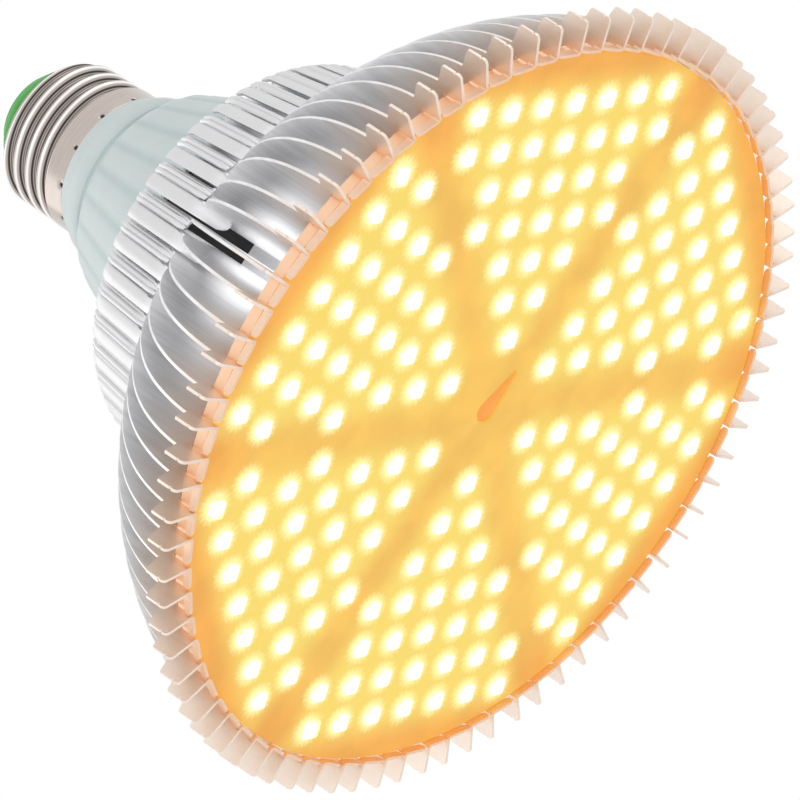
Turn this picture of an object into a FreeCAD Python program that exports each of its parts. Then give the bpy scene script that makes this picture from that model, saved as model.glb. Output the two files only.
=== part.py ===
"""Grow light bulb: a reflector-shaped LED lamp with a stamped stacked-fin heat sink.

Millimetres. The lamp stands on its head: Z = 0 is the front edge of the fins, around the
lit face, and +Z runs up the lamp's axis to the centre contact of its screw base.
"""
import FreeCAD, Part
import math
import os
import Sketcher

Vector = FreeCAD.Vector

# Driving dimensions: alias, value, what it is
DIMENSIONS = [
    # heat sink fins
    ("fin_pairs", 40, "pairs of fins round the lamp"),
    ("fin_sheet", 0.5, "thickness of the fins' sheet"),
    ("rib_to_panel_deg", 4.2, "angle from a ribbed fin to the panelled fin beside it"),
    ("face_radius", 62.2, "inside of the ring of folded tabs round the lit face"),
    ("head_radius", 68.0, "outermost edge of the fins, at the head"),
    ("hook_height", 4.2, "height of the hook above the head"),
    ("hook_drop", 1.1, "height from the hook to the start of the bell"),
    ("bell_radius", 64.55, "radius of the bell at its widest"),
    ("bell_widest", 2.7, "height of the bell's widest place"),
    ("bell_flare", 0.0185, "how fast the bell narrows, per mm"),
    ("bell_chords", 5, "straight runs that stand for the bell's curve"),
    ("waist_height", 41.0, "height of the waist between the two tiers"),
    ("waist_blend", 2.6, "height of the blend from the waist to the rear tier"),
    ("rear_radius", 35.0, "radius of the rear tier at its shoulder"),
    ("rear_slope", 0.15, "how fast the rear tier widens towards the waist, per mm"),
    ("rear_height", 55.5, "height of the rear tier's shoulder"),
    ("tab_height", 1.4, "height of the folded tabs round the lit face"),
    ("tab_gap", 0.15, "gap from a tab to the next fin"),
    ("panel_front", 35.0, "height of the front end of the wide panels"),
    ("panel_corner", 1.4, "cut across a wide panel's free front corner"),
    ("panel_gap", 0.35, "gap from a wide panel to the next fin"),
    ("rib_front", 43.0, "height of the front end of the ribbed strips"),
    ("rib_width", 1.3, "width of the raised rib of a ribbed strip"),
    ("rib_rise", 0.55, "how far the rib stands above the strip that carries it"),
    ("rib_gap", 0.3, "gap from a rib to the panelled fin"),
    # spreader, board and light sources
    ("seat_clearance", 0.1, "clearance between parts that seat on each other"),
    ("board_recess", 0.9, "depth of the board's face inside the head"),
    ("board_thickness", 1.2, "thickness of the light board"),
    ("board_gap", 0.2, "gap round the board, inside the tabs"),
    ("spreader_thickness", 2.0, "thickness of the heat spreader"),
    ("sleeve_radius", 26.4, "outer radius of the spreader's sleeve"),
    ("sleeve_wall", 1.2, "wall of the spreader's sleeve"),
    ("sleeve_height", 37.0, "height of the top of the sleeve"),
    ("light_groups", 6, "groups of light sources"),
    ("light_side", 3.0, "side of a light source"),
    ("light_height", 0.65, "height of a light source"),
    ("light_pitch", 7.25, "pitch of the light sources along a row"),
    ("first_row", 12.75, "distance of the innermost row from the axis"),
    ("last_row_inset", 8.65, "distance of the outermost row from the ring of tabs"),
    ("end_light_shift", 0.65, "how far one end source of the last row is pulled in"),
    ("board_turn", -1.5, "turn of the board against the fins, in degrees"),
    ("wire_hole_radius", 2.1, "radius of the wire hole at the board's centre"),
    ("wire_slot_length", 8.0, "reach of the wire hole's slot from the axis"),
    ("wire_slot_turn", 34.0, "direction of the wire hole's slot, in degrees"),
    # driver cup, neck and base
    ("flutes", 24, "flats round the driver cup and the neck"),
    ("cup_radius", 24.9, "radius over the driver cup's corners"),
    ("cup_wall", 1.5, "wall of the driver cup"),
    ("cup_floor", 1.6, "floor of the driver cup"),
    ("skirt_radius", 26.3, "radius of the neck's skirt at its open end"),
    ("skirt_start", 57.5, "height of the skirt's open end, seated on the cup"),
    ("register_height", 3.0, "how far the neck's register reaches into the cup"),
    ("skirt_top_radius", 18.0, "radius of the skirt at its shoulder"),
    ("skirt_top", 78.5, "height of the skirt's shoulder"),
    ("neck_wall", 1.6, "wall of the neck"),
    ("groove_radius", 14.9, "radius of the groove in the neck"),
    ("groove_height", 80.6, "height of the groove's lower edge"),
    ("groove_width", 0.7, "width of the groove"),
    ("ring_radius", 15.4, "radius of the smooth ring above the groove"),
    ("ring_height", 82.7, "height where the ring begins to narrow"),
    ("shell_start", 87.8, "height of the screw shell's open end"),
    ("shell_radius", 13.15, "radius over the screw shell's thread"),
    ("shell_wall", 0.4, "thickness of the screw shell's sheet"),
    ("collar_height", 4.2, "height of the shell's plain collar, which grips the neck"),
    ("shell_end", 103.9, "height of the screw shell's turned-in end"),
    ("shell_mouth", 11.2, "radius of the opening in the shell's turned-in end"),
    ("insulator_radius", 7.5, "radius of the insulator's flat end"),
    ("insulator_rise", 5.1, "height of the insulator over the shell"),
    ("insulator_seat", 4.5, "depth of the insulator inside the shell"),
    ("contact_radius", 4.6, "radius of the centre contact"),
    ("contact_rise", 2.4, "height of the centre contact over the insulator"),
    ("shank_radius", 1.3, "radius of the centre contact's shank"),
    # driver inside the cup and the neck
    ("circuit_thickness", 1.6, "thickness of the driver's circuit board"),
    ("circuit_width", 36.0, "width of the circuit board in the cup"),
    ("circuit_height", 46.0, "height of the circuit board's wide part"),
    ("tongue_width", 18.0, "width of the circuit board in the neck"),
    ("tongue_height", 34.0, "height of the circuit board's narrow part"),
    ("can_height", 13.0, "height of the large parts over the circuit board's foot"),
    ("capacitor_radius", 5.0, "radius of the capacitors"),
    ("capacitor_length", 20.0, "length of the input capacitor"),
    ("core_width", 19.0, "width of the transformer"),
    ("core_depth", 13.0, "depth of the transformer"),
    ("core_height", 17.0, "height of the transformer"),
    ("choke_radius", 4.0, "radius of the inductor"),
    ("choke_length", 8.0, "length of the inductor"),
    ("bridge_width", 6.5, "width of the bridge rectifier"),
    ("bridge_height", 5.0, "height of the bridge rectifier"),
    ("bridge_depth", 2.5, "depth of the bridge rectifier"),
    ("lead_radius", 0.7, "radius over the corners of the insulated leads"),
    ("small_round_sides", 12, "sides that stand for the round of cans, leads and small holes"),
    ("neutral_offset", 8.0, "distance of the neutral lead's riser from the axis"),
]

LIGHTS_IN_ROWS = "1 2 3 5 5 7 7"

doc = FreeCAD.newDocument("GrowLightBulb")
sheet = doc.addObject("Spreadsheet::Sheet", "Sizes")
for row, (alias, value, meaning) in enumerate(DIMENSIONS, start=1):
    sheet.set("A%d" % row, meaning)
    sheet.set("B%d" % row, str(value))
    sheet.setAlias("B%d" % row, alias)
doc.recompute()

# Heights shared by the parts that seat on each other
SPREADER_FACE = "(S.board_recess + S.board_thickness)"
SPREADER_BACK = "(%s + S.spreader_thickness)" % SPREADER_FACE
STACK_SEAT = "(%s + S.seat_clearance)" % SPREADER_BACK
CUP_INSIDE = "(%s + S.cup_floor)" % STACK_SEAT
CUP_RIM = "(S.skirt_start - S.seat_clearance)"
FIN_BORE = "(S.sleeve_radius + S.seat_clearance)"
PANEL_PITCH = "(360 / S.fin_pairs - S.rib_to_panel_deg)"
SHELL_BORE = "(S.shell_radius - S.shell_wall)"
SPIGOT = "(%s - S.seat_clearance)" % SHELL_BORE
CIRCUIT_FOOT = "(%s + S.seat_clearance)" % CUP_INSIDE
CIRCUIT_FACE = "(-S.lead_radius)"
CIRCUIT_BACK = "(-S.lead_radius - S.circuit_thickness)"
TONGUE_START = "(%s + S.circuit_height)" % CIRCUIT_FOOT
TONGUE_END = "(%s + S.tongue_height)" % TONGUE_START


def size(text):
    """Value of an expression in which S stands for the sheet."""
    return float(sheet.evalExpression(text.replace("S.", "Sizes.")))


def bind(thing, prop, text):
    thing.setExpression(prop, text.replace("S.", "Sizes."))


def new_body(name):
    body = doc.addObject("PartDesign::Body", name)
    body.Label = name
    return body


def sketch_on(body, name, plane, height="0"):
    """Empty sketch on one of the body's own planes, lifted along its normal."""
    support = [item for item in body.Origin.OriginFeatures if item.Role == plane][0]
    sketch = body.newObject("Sketcher::SketchObject", name)
    sketch.AttachmentSupport = (support, [""])
    sketch.MapMode = "FlatFace"
    if height != "0":
        bind(sketch, "AttachmentOffset.Base.z", height)
    return sketch


def place_point(sketch, element, point, texts):
    """Tie a point of a sketch to a pair of expressions."""
    for axis, kind, text in ((-2, "DistanceX", texts[0]), (-1, "DistanceY", texts[1])):
        if text == "0":
            sketch.addConstraint(Sketcher.Constraint("PointOnObject", element, point, axis))
        else:
            rule = Sketcher.Constraint(kind, -1, 1, element, point, size(text))
            bind(sketch, "Constraints[%d]" % sketch.addConstraint(rule), text)


def outline_on(body, name, plane, points, height="0"):
    """Closed outline through points given as pairs of expressions."""
    sketch = sketch_on(body, name, plane, height)
    places = [Vector(size(x_text), size(y_text), 0) for x_text, y_text in points]
    count = len(places)
    for i in range(count):
        sketch.addGeometry(Part.LineSegment(places[i], places[(i + 1) % count]))
    for i in range(count):
        sketch.addConstraint(Sketcher.Constraint("Coincident", i, 2, (i + 1) % count, 1))
    for i, texts in enumerate(points):
        place_point(sketch, i, 1, texts)
    return sketch


def flat_sided(radius, sides, centre="0"):
    """Corners of a regular cross-section, as expressions; sides is an alias."""
    angles = ["(%d * 360deg / %s)" % (i, sides) for i in range(int(size(sides)))]
    return [("%s + (%s) * cos%s" % (centre, radius, angle), "(%s) * sin%s" % (radius, angle))
            for angle in angles]


def circle_on(body, name, plane, radius, height):
    """Circle about the lamp's axis."""
    sketch = sketch_on(body, name, plane, height)
    element = sketch.addGeometry(Part.Circle(Vector(0, 0, 0), Vector(0, 0, 1), size(radius)))
    rule = sketch.addConstraint(Sketcher.Constraint("Radius", element, size(radius)))
    bind(sketch, "Constraints[%d]" % rule, radius)
    place_point(sketch, element, 3, ("0", "0"))
    return sketch


def pad(body, name, sketch, length):
    feature = body.newObject("PartDesign::Pad", name)
    feature.Profile = sketch
    bind(feature, "Length", length)
    return feature


def pocket(body, name, sketch, depth, upwards=False):
    feature = body.newObject("PartDesign::Pocket", name)
    feature.Profile = sketch
    feature.Reversed = upwards
    bind(feature, "Length", depth)
    return feature


def turning(body, name, points):
    """Turn an outline of radius and height pairs about the lamp's axis."""
    sketch = outline_on(body, name + "Outline", "XZ_Plane", points)
    feature = body.newObject("PartDesign::Revolution", name)
    feature.Profile = sketch
    feature.ReferenceAxis = (sketch, ["V_Axis"])
    feature.Angle = 360
    return feature


def turned(shape, degrees):
    copy = shape.copy()
    copy.rotate(Vector(0, 0, 0), Vector(0, 0, 1), degrees)
    return copy


def shape_node(name, shape):
    """A piece put together from other shapes, already in its place."""
    piece = doc.addObject("Part::Feature", name)
    piece.Label = name
    piece.Shape = shape
    piece.Placement = FreeCAD.Placement()
    return piece


def ring_of(name, blank, count, first_degrees):
    """Copies of one blank round the axis, each its own solid, as one node."""
    copies = [turned(blank.Shape, first_degrees + 360.0 * i / count) for i in range(count)]
    return shape_node(name, Part.Compound(copies))


def wire_hole(body, back, depth):
    """The leads' hole through a wall, cut from the height of the wall's back."""
    hole = outline_on(body, "WireHole", "XY_Plane",
                      flat_sided("S.wire_hole_radius", "S.small_round_sides"), back)
    pocket(body, "WireHoleCut", hole, depth)


# Fins: two blanks of folded sheet, which alternate round the lamp
def bell_points():
    """The bell from the hook to the waist: a parabola about its widest place."""
    start = "(S.hook_height + S.hook_drop)"
    points = []
    for i in range(int(size("S.bell_chords")) + 1):
        height = "(%s + (S.waist_height - %s) * %d / S.bell_chords)" % (start, start, i)
        radius = "S.bell_radius - S.bell_flare * (%s - S.bell_widest)^2" % height
        points.append((radius, height))
    return points


def rear_radius_at(height):
    return "(S.rear_radius + S.rear_slope * (S.rear_height - %s))" % height


def blade_outline():
    tier_start = "(S.waist_height + S.waist_blend)"
    head = [
        (FIN_BORE, STACK_SEAT),
        ("S.face_radius", STACK_SEAT),
        ("S.face_radius", "0"),
        ("S.head_radius", "0"),
        ("S.head_radius", "S.hook_height"),
    ]
    rear = [
        (rear_radius_at(tier_start), tier_start),
        ("S.rear_radius", "S.rear_height"),
        (FIN_BORE, "S.rear_height"),
    ]
    return head + bell_points() + rear


def folded_blade(name, pitch):
    """A blade with the tab folded off its head end, which reaches the next blade."""
    body = new_body(name)
    outline = outline_on(body, "BladeOutline", "XZ_Plane", blade_outline())
    pad(body, "Blade", outline, "S.fin_sheet").Midplane = True
    reach = "(S.face_radius * %s * pi / 180 - S.fin_sheet / 2 - S.tab_gap)" % pitch
    tab = outline_on(body, "TabOutline", "XY_Plane", [
        ("S.face_radius", "0"),
        ("S.face_radius + S.fin_sheet", "0"),
        ("S.face_radius + S.fin_sheet", "-" + reach),
        ("S.face_radius", "-" + reach),
    ])
    pad(body, "Tab", tab, "S.tab_height")
    return body


def sloped_strip(body, name, outline, front):
    """A strip that follows the rear tier's slope from its front end to the shoulder."""
    sketch = outline_on(body, name + "Outline", "XY_Plane", outline, front)
    strip = pad(body, name, sketch, "S.rear_height - %s" % front)
    strip.UseCustomVector = True
    strip.AlongSketchNormal = True
    strip.Direction = Vector(-size("S.rear_slope"), 0, 1)
    bind(strip, "Direction.x", "-S.rear_slope")


def panelled_fin():
    """Fin whose wide outer panel closes the rear tier as far as the next pair."""
    body = folded_blade("panelled_fin", PANEL_PITCH)
    outer = rear_radius_at("S.panel_front")
    width = "(S.rear_radius * %s * pi / 180 - S.fin_sheet / 2 - S.panel_gap)" % PANEL_PITCH
    sloped_strip(body, "Panel", [
        ("%s - S.fin_sheet" % outer, "0"),
        (outer, "0"),
        (outer, "-" + width),
        ("%s - S.fin_sheet" % outer, "-" + width),
    ], "S.panel_front")
    corner = outline_on(body, "PanelCorner", "YZ_Plane", [
        ("-" + width, "S.panel_front"),
        ("-" + width, "S.panel_front + S.panel_corner"),
        ("-%s + S.panel_corner" % width, "S.panel_front"),
    ], "S.rear_radius")
    pocket(body, "PanelCornerCut", corner, "S.rear_radius / 4", upwards=True)
    return body


def ribbed_fin():
    """Fin whose narrow ribbed strip fills the rest of a pair's pitch."""
    body = folded_blade("ribbed_fin", "S.rib_to_panel_deg")
    top = rear_radius_at("S.rib_front")
    step = "(%s - S.rib_rise)" % top
    reach = "(S.rear_radius * S.rib_to_panel_deg * pi / 180 - S.fin_sheet / 2 - S.rib_gap)"
    sloped_strip(body, "Rib", [
        ("%s - S.fin_sheet" % step, "0"),
        (step, "0"),
        (step, "-(%s - S.rib_width)" % reach),
        (top, "-(%s - S.rib_width)" % reach),
        (top, "-" + reach),
        ("%s - S.fin_sheet" % step, "-" + reach),
    ], "S.rib_front")
    return body


# Light board and spreader
def light_board():
    body = new_body("light_board")
    edge = "(S.face_radius - S.board_gap)"
    turning(body, "Disc", [
        ("0", "S.board_recess"),
        (edge, "S.board_recess"),
        (edge, SPREADER_FACE),
        ("0", SPREADER_FACE),
    ])
    wire_hole(body, SPREADER_FACE, "S.board_thickness")
    along = ("cos(S.wire_slot_turn * 1deg)", "sin(S.wire_slot_turn * 1deg)")
    wide, narrow = "S.wire_hole_radius * 0.6", "S.wire_hole_radius * 0.3"
    corners = [("0", wide), ("S.wire_slot_length", narrow),
               ("S.wire_slot_length", "-" + narrow), ("0", "-" + wide)]
    slot = outline_on(body, "WireSlot", "XY_Plane", [
        ("%s * %s - %s * (%s)" % (out, along[0], along[1], side),
         "%s * %s + %s * (%s)" % (out, along[1], along[0], side))
        for out, side in corners
    ], SPREADER_FACE)
    pocket(body, "WireSlotCut", slot, "S.board_thickness")
    return body


def light_source():
    """One light source, centred on the axis with its back on the board's face."""
    body = new_body("light_source")
    half = "S.light_side / 2"
    square = outline_on(body, "Square", "XY_Plane", [
        ("-" + half, "-" + half), (half, "-" + half), (half, half), ("-" + half, half),
    ], "S.board_recess - S.light_height")
    pad(body, "Package", square, "S.light_height")
    return body


def light_group(number, blank):
    """A wedge of light sources, rows outwards along the group's own direction."""
    board_turn = size("S.board_turn")
    group_turn = board_turn + 360.0 * (number - 1) / size("S.light_groups")
    upright = turned(blank.Shape, board_turn)
    sources = []
    counts = [int(word) for word in LIGHTS_IN_ROWS.split()]
    last = len(counts) - 1
    row_pitch = size("S.face_radius - S.last_row_inset - S.first_row") / last
    for row, count in enumerate(counts):
        distance = size("S.first_row") + row_pitch * row
        for column in range(count):
            across = (column - (count - 1) / 2.0) * size("S.light_pitch")
            if row == last and column == count - 1:
                across -= size("S.end_light_shift")
            turn = FreeCAD.Rotation(Vector(0, 0, 1), group_turn)
            source = upright.copy()
            source.translate(turn.multVec(Vector(distance, across, 0)))
            sources.append(source)
    return shape_node("light_group_%d" % number, Part.Compound(sources))


def heat_spreader():
    body = new_body("heat_spreader")
    inside = "(S.sleeve_radius - S.sleeve_wall)"
    edge = "(S.face_radius - S.board_gap)"
    turning(body, "Plate", [
        ("0", SPREADER_FACE),
        (edge, SPREADER_FACE),
        (edge, SPREADER_BACK),
        ("S.sleeve_radius", SPREADER_BACK),
        ("S.sleeve_radius", "S.sleeve_height"),
        (inside, "S.sleeve_height"),
        (inside, SPREADER_BACK),
        ("0", SPREADER_BACK),
    ])
    wire_hole(body, SPREADER_BACK, "S.spreader_thickness")
    return body


# Driver cup and neck
def driver_cup():
    body = new_body("driver_cup")
    outside = outline_on(body, "Outside", "XY_Plane", flat_sided("S.cup_radius", "S.flutes"),
                         STACK_SEAT)
    pad(body, "Cup", outside, "%s - %s" % (CUP_RIM, STACK_SEAT))
    inside = outline_on(body, "Inside", "XY_Plane",
                        flat_sided("S.cup_radius - S.cup_wall", "S.flutes"), CUP_RIM)
    pocket(body, "Hollow", inside, "%s - %s" % (CUP_RIM, CUP_INSIDE))
    wire_hole(body, CUP_INSIDE, "S.cup_floor")
    return body


def flat_sided_solid(levels):
    """Solid with flats all round, through radius and height pairs from the bottom up."""
    count = int(size("S.flutes"))
    rings = []
    for radius, height in levels:
        angles = [math.radians(360.0 * i / count) for i in range(count)]
        rings.append([Vector(radius * math.cos(a), radius * math.sin(a), height)
                      for a in angles])
    faces = []
    for cap in (rings[0], rings[-1]):
        faces.append(Part.Face(Part.makePolygon(cap + cap[:1])))
    for low, high in zip(rings[:-1], rings[1:]):
        for i in range(count):
            j = (i + 1) % count
            corners = [low[i], low[j], high[j], high[i], low[i]]
            faces.append(Part.Face(Part.makePolygon(corners)))
    return Part.makeSolid(Part.makeShell(faces))


def neck_housing():
    """The moulded neck: a fluted skirt, a groove, a smooth ring and the shell's spigot."""
    wall = size("S.neck_wall")
    start = size("S.skirt_start")
    foot = start - size("S.register_height")
    register = size("S.cup_radius - S.cup_wall - S.seat_clearance")
    shoulder = size("S.skirt_top")
    groove_radius = size("S.groove_radius")
    groove = size("S.groove_height")
    groove_end = groove + size("S.groove_width")
    shell_start = size("S.shell_start")
    spigot_end = shell_start + size("S.collar_height")
    spigot = size(SPIGOT)
    outside = flat_sided_solid([
        (size("S.skirt_radius"), start),
        (size("S.skirt_top_radius"), shoulder),
        (groove_radius + size("S.groove_width"), groove),
    ])
    rim = flat_sided_solid([(register, foot), (register, start)])
    collar = flat_sided_solid([(spigot, shell_start), (spigot, spigot_end)])
    inside = flat_sided_solid([
        (register - wall, foot),
        (register - wall, start + wall),
        (groove_radius - wall, shoulder),
        (spigot - wall, shell_start),
        (spigot - wall, spigot_end),
    ])
    outline = Part.makePolygon([
        Vector(0, 0, groove),
        Vector(groove_radius, 0, groove),
        Vector(groove_radius, 0, groove_end),
        Vector(size("S.ring_radius"), 0, groove_end),
        Vector(size("S.ring_radius"), 0, size("S.ring_height")),
        Vector(size("S.shell_radius"), 0, shell_start),
        Vector(0, 0, shell_start),
        Vector(0, 0, groove),
    ])
    ring = Part.Face(outline).revolve(Vector(0, 0, 0), Vector(0, 0, 1), 360)
    body = outside.multiFuse([rim, ring, collar]).cut(inside)
    return shape_node("neck_housing", body.removeSplitter())


# Screw base
def screw_shell():
    """Sheet shell of the cap, plain at the radius over its thread."""
    body = new_body("screw_shell")
    turning(body, "Shell", [
        ("S.shell_radius", "S.shell_start"),
        ("S.shell_radius", "S.shell_end"),
        ("S.shell_mouth", "S.shell_end"),
        ("S.shell_mouth", "S.shell_end - S.shell_wall"),
        (SHELL_BORE, "S.shell_end - S.shell_wall"),
        (SHELL_BORE, "S.shell_start"),
    ])
    return body


def base_insulator():
    body = new_body("base_insulator")
    seat = "(S.shell_end - S.insulator_seat)"
    flat = "(S.shell_end + S.insulator_rise)"
    waist = "(S.shell_mouth - S.seat_clearance)"
    turning(body, "Dome", [
        ("0", "S.shell_end + S.shell_wall"),
        (waist, "S.shell_end + S.shell_wall"),
        ("S.insulator_radius", flat),
        ("0", flat),
    ])
    plug = outline_on(body, "PlugOutline", "XY_Plane", flat_sided(waist, "S.flutes"), seat)
    pad(body, "Plug", plug, "S.insulator_seat + S.shell_wall")
    hole = outline_on(body, "ShankHole", "XY_Plane",
                      flat_sided("S.shank_radius + S.seat_clearance", "S.small_round_sides"),
                      flat)
    pocket(body, "ShankHoleCut", hole, "S.insulator_rise + S.insulator_seat")
    return body


def centre_contact():
    """Rivet-like contact whose shank runs through the insulator."""
    body = new_body("centre_contact")
    seat = "(S.shell_end + S.insulator_rise + S.seat_clearance / 2)"
    head = circle_on(body, "HeadCircle", "XY_Plane", "S.contact_radius", seat)
    pad(body, "Head", head, "S.contact_rise")
    shank = outline_on(body, "ShankOutline", "XY_Plane",
                       flat_sided("S.shank_radius", "S.small_round_sides"),
                       "S.shell_end - S.insulator_seat")
    pad(body, "Shank", shank, "%s - S.shell_end + S.insulator_seat" % seat)
    return body


# Driver electronics
def driver_board():
    """Circuit board: wide in the cup, a tongue in the neck."""
    body = new_body("driver_board")
    wide, narrow = "S.circuit_width / 2", "S.tongue_width / 2"
    outline = outline_on(body, "BoardOutline", "XZ_Plane", [
        ("-" + wide, CIRCUIT_FOOT),
        (wide, CIRCUIT_FOOT),
        (wide, TONGUE_START),
        (narrow, TONGUE_START),
        (narrow, TONGUE_END),
        ("-" + narrow, TONGUE_END),
        ("-" + narrow, TONGUE_START),
        ("-" + wide, TONGUE_START),
    ], "-" + CIRCUIT_FACE)
    pad(body, "Board", outline, "S.circuit_thickness")
    return body


def upright_can(name, across, foot, radius, length):
    """A can that lies along the circuit board's face, with its axis upright."""
    body = new_body(name)
    lift = "(%s + %s)" % (CIRCUIT_FACE, radius)
    corners = [(x_text, "%s + %s" % (lift, y_text))
               for x_text, y_text in flat_sided(radius, "S.small_round_sides", across)]
    pad(body, "Can", outline_on(body, "CanOutline", "XY_Plane", corners, foot), length)
    return body


def back_block(name, across, foot, width, depth, height):
    """A block on the back of the circuit board."""
    body = new_body(name)
    sketch = outline_on(body, "BlockOutline", "XY_Plane", [
        ("%s - %s / 2" % (across, width), CIRCUIT_BACK),
        ("%s - %s / 2" % (across, width), "%s - %s" % (CIRCUIT_BACK, depth)),
        ("%s + %s / 2" % (across, width), "%s - %s" % (CIRCUIT_BACK, depth)),
        ("%s + %s / 2" % (across, width), CIRCUIT_BACK),
    ], foot)
    pad(body, "Block", sketch, height)
    return body


def straight_lead(name, across, foot, length):
    body = new_body(name)
    sketch = outline_on(body, "LeadOutline", "XY_Plane",
                        flat_sided("S.lead_radius", "S.small_round_sides", across), foot)
    pad(body, "Lead", sketch, length)
    return body


def neutral_lead():
    """Lead that rises through the neck and turns outwards to the shell."""
    bend = "(S.shell_start + S.collar_height + S.lead_radius * 2)"
    body = straight_lead("neutral_lead", "S.neutral_offset",
                         "%s - S.tongue_width / 2" % TONGUE_END,
                         "%s - %s + S.tongue_width / 2 + S.lead_radius" % (bend, TONGUE_END))
    corners = flat_sided("S.lead_radius", "S.small_round_sides")
    lifted = [(y_text, "%s + %s" % (bend, z_text)) for y_text, z_text in corners]
    sketch = outline_on(body, "BranchOutline", "YZ_Plane", lifted, "S.neutral_offset")
    pad(body, "Branch", sketch, "%s - S.seat_clearance - S.neutral_offset" % SHELL_BORE)
    return body


# Build
panel_blank = panelled_fin()
rib_blank = ribbed_fin()
light_blank = light_source()
can_foot = "(%s + S.can_height)" % CIRCUIT_FOOT
contact_foot = "(S.shell_end - S.insulator_seat)"
bodies = [
    light_board(),
    heat_spreader(),
    driver_cup(),
    screw_shell(),
    base_insulator(),
    centre_contact(),
    driver_board(),
    upright_can("input_capacitor", "-S.capacitor_radius * 1.5", can_foot,
                "S.capacitor_radius", "S.capacitor_length"),
    upright_can("output_capacitor", "S.capacitor_radius * 1.5", can_foot,
                "S.capacitor_radius", "S.capacitor_length * 0.8"),
    upright_can("inductor", "0", TONGUE_START, "S.choke_radius", "S.choke_length"),
    back_block("transformer", "0 * S.core_width", can_foot, "S.core_width",
               "S.core_depth", "S.core_height"),
    back_block("bridge_rectifier", "0 * S.core_width", TONGUE_START, "S.bridge_width",
               "S.bridge_depth", "S.bridge_height"),
    straight_lead("live_lead", "0", "%s - S.tongue_width / 2" % TONGUE_END,
                  "%s - %s + S.tongue_width / 2" % (contact_foot, TONGUE_END)),
    neutral_lead(),
]
doc.recompute()

lead_side = "S.lead_radius * 1.2"
lead_pair = straight_lead("output_lead", lead_side, "S.board_recess",
                          "%s + S.can_height / 2 - S.board_recess" % CIRCUIT_FOOT)
doc.recompute()

nodes = bodies + [
    ring_of("panelled_fins", panel_blank, int(size("S.fin_pairs")),
            -size("S.rib_to_panel_deg")),
    ring_of("ribbed_fins", rib_blank, int(size("S.fin_pairs")), 0.0),
    ring_of("output_leads", lead_pair, 2, 0.0),
    neck_housing(),
]
groups = int(size("S.light_groups"))
nodes += [light_group(number, light_blank) for number in range(1, groups + 1)]
doc.recompute()

for item in doc.Objects:
    if "Invalid" in item.State or "Error" in item.State:
        raise RuntimeError("object failed: " + item.Name)
for node in nodes:
    if node.Shape.isNull() or not node.Shape.isValid():
        raise RuntimeError("no valid shape: " + node.Label)

os.makedirs("parts", exist_ok=True)
for node in nodes:
    node.Shape.exportStep("parts/%s.step" % node.Label)
    print(node.Label, len(node.Shape.Solids), round(node.Shape.Volume, 1), node.Shape.BoundBox)
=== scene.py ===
"""Grow light bulb: its visible surfaces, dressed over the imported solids."""
import math
import random

import bpy
import bmesh
from mathutils import Matrix, Vector


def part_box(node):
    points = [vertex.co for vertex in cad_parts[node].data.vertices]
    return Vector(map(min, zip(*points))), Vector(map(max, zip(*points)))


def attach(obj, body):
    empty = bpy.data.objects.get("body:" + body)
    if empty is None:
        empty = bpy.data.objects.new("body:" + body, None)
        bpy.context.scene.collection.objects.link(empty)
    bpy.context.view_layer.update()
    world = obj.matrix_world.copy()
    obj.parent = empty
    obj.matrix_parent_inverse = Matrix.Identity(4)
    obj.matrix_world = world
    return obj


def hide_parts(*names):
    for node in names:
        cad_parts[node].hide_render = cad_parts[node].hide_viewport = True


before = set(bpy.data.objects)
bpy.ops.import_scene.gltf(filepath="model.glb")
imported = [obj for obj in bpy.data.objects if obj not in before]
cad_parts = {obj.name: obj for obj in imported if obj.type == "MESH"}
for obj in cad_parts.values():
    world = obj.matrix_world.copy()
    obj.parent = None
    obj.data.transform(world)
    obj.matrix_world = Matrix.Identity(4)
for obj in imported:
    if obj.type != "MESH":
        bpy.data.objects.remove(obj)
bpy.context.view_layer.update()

bl_info = {
    "name": "Grow Light Bulb",
    "version": (1, 0, 0),
    "blender": (4, 5, 0),
    "location": "3D View > Sidebar > Grow Light",
    "description": "Builds an LED grow light with a stacked-fin heat sink and a screw cap",
    "category": "Object",
}

MM = 0.001


def top_of(node):
    """Height of a node's highest point, in millimetres."""
    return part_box(node)[1].z / MM


def foot_of(node):
    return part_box(node)[0].z / MM


def reach_of(node):
    """How far a node reaches from the lamp's axis along X, in millimetres."""
    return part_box(node)[1].x / MM


# Sizes that the operators share: lengths in millimetres, turns in degrees
HEAD_RADIUS = reach_of("ribbed_fins")
REAR_TOP = top_of("ribbed_fins")
FACE_RADIUS = 62.2
STACK_SEAT = 4.2
FIN_BORE = 26.5
TAB_HEIGHT = 1.4
HOOK_HEIGHT = 4.2
BELL_START = 5.3
WAIST = 41.0
TIER_START = 43.6
REAR_RADIUS = 35.0
REAR_SLOPE = 0.15
BELL_RADIUS = 64.55
BELL_WIDEST = 2.7
BELL_FLARE = 0.0185
PAIRS = 40
RIB_TO_PANEL = 4.2
FLUTES = 24
BOARD_FACE = foot_of("light_board")
BOARD_BACK = top_of("light_board")
BOARD_RADIUS = reach_of("light_board")
BOARD_TURN = -1.5
WEDGES = 6
LIGHT_ROWS = (1, 2, 3, 5, 5, 7, 7)
LIGHT_PITCH = 7.25
FIRST_ROW = 12.75
ROW_PITCH = 6.8
END_SHIFT = 0.65
LIGHT_FACE = foot_of("light_group_1")
SHELL_START = foot_of("screw_shell")
SHELL_END = top_of("screw_shell")
SHELL_RADIUS = reach_of("screw_shell")
SHELL_WALL = 0.4
SHELL_RIM = 12.3
SHELL_MOUTH = 11.2
COLLAR_TOP = 92.0
THREAD_CREST = 94.5
THREAD_TURN = -62.0
CRIMP_HEIGHT = 88.35
CRIMP_FIRST = -36.6
CRIMP_COUNT = 12
BOARD_STEPS = 180
SLOT_TURN = 34.0
HOLE_RADIUS = 2.1
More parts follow.
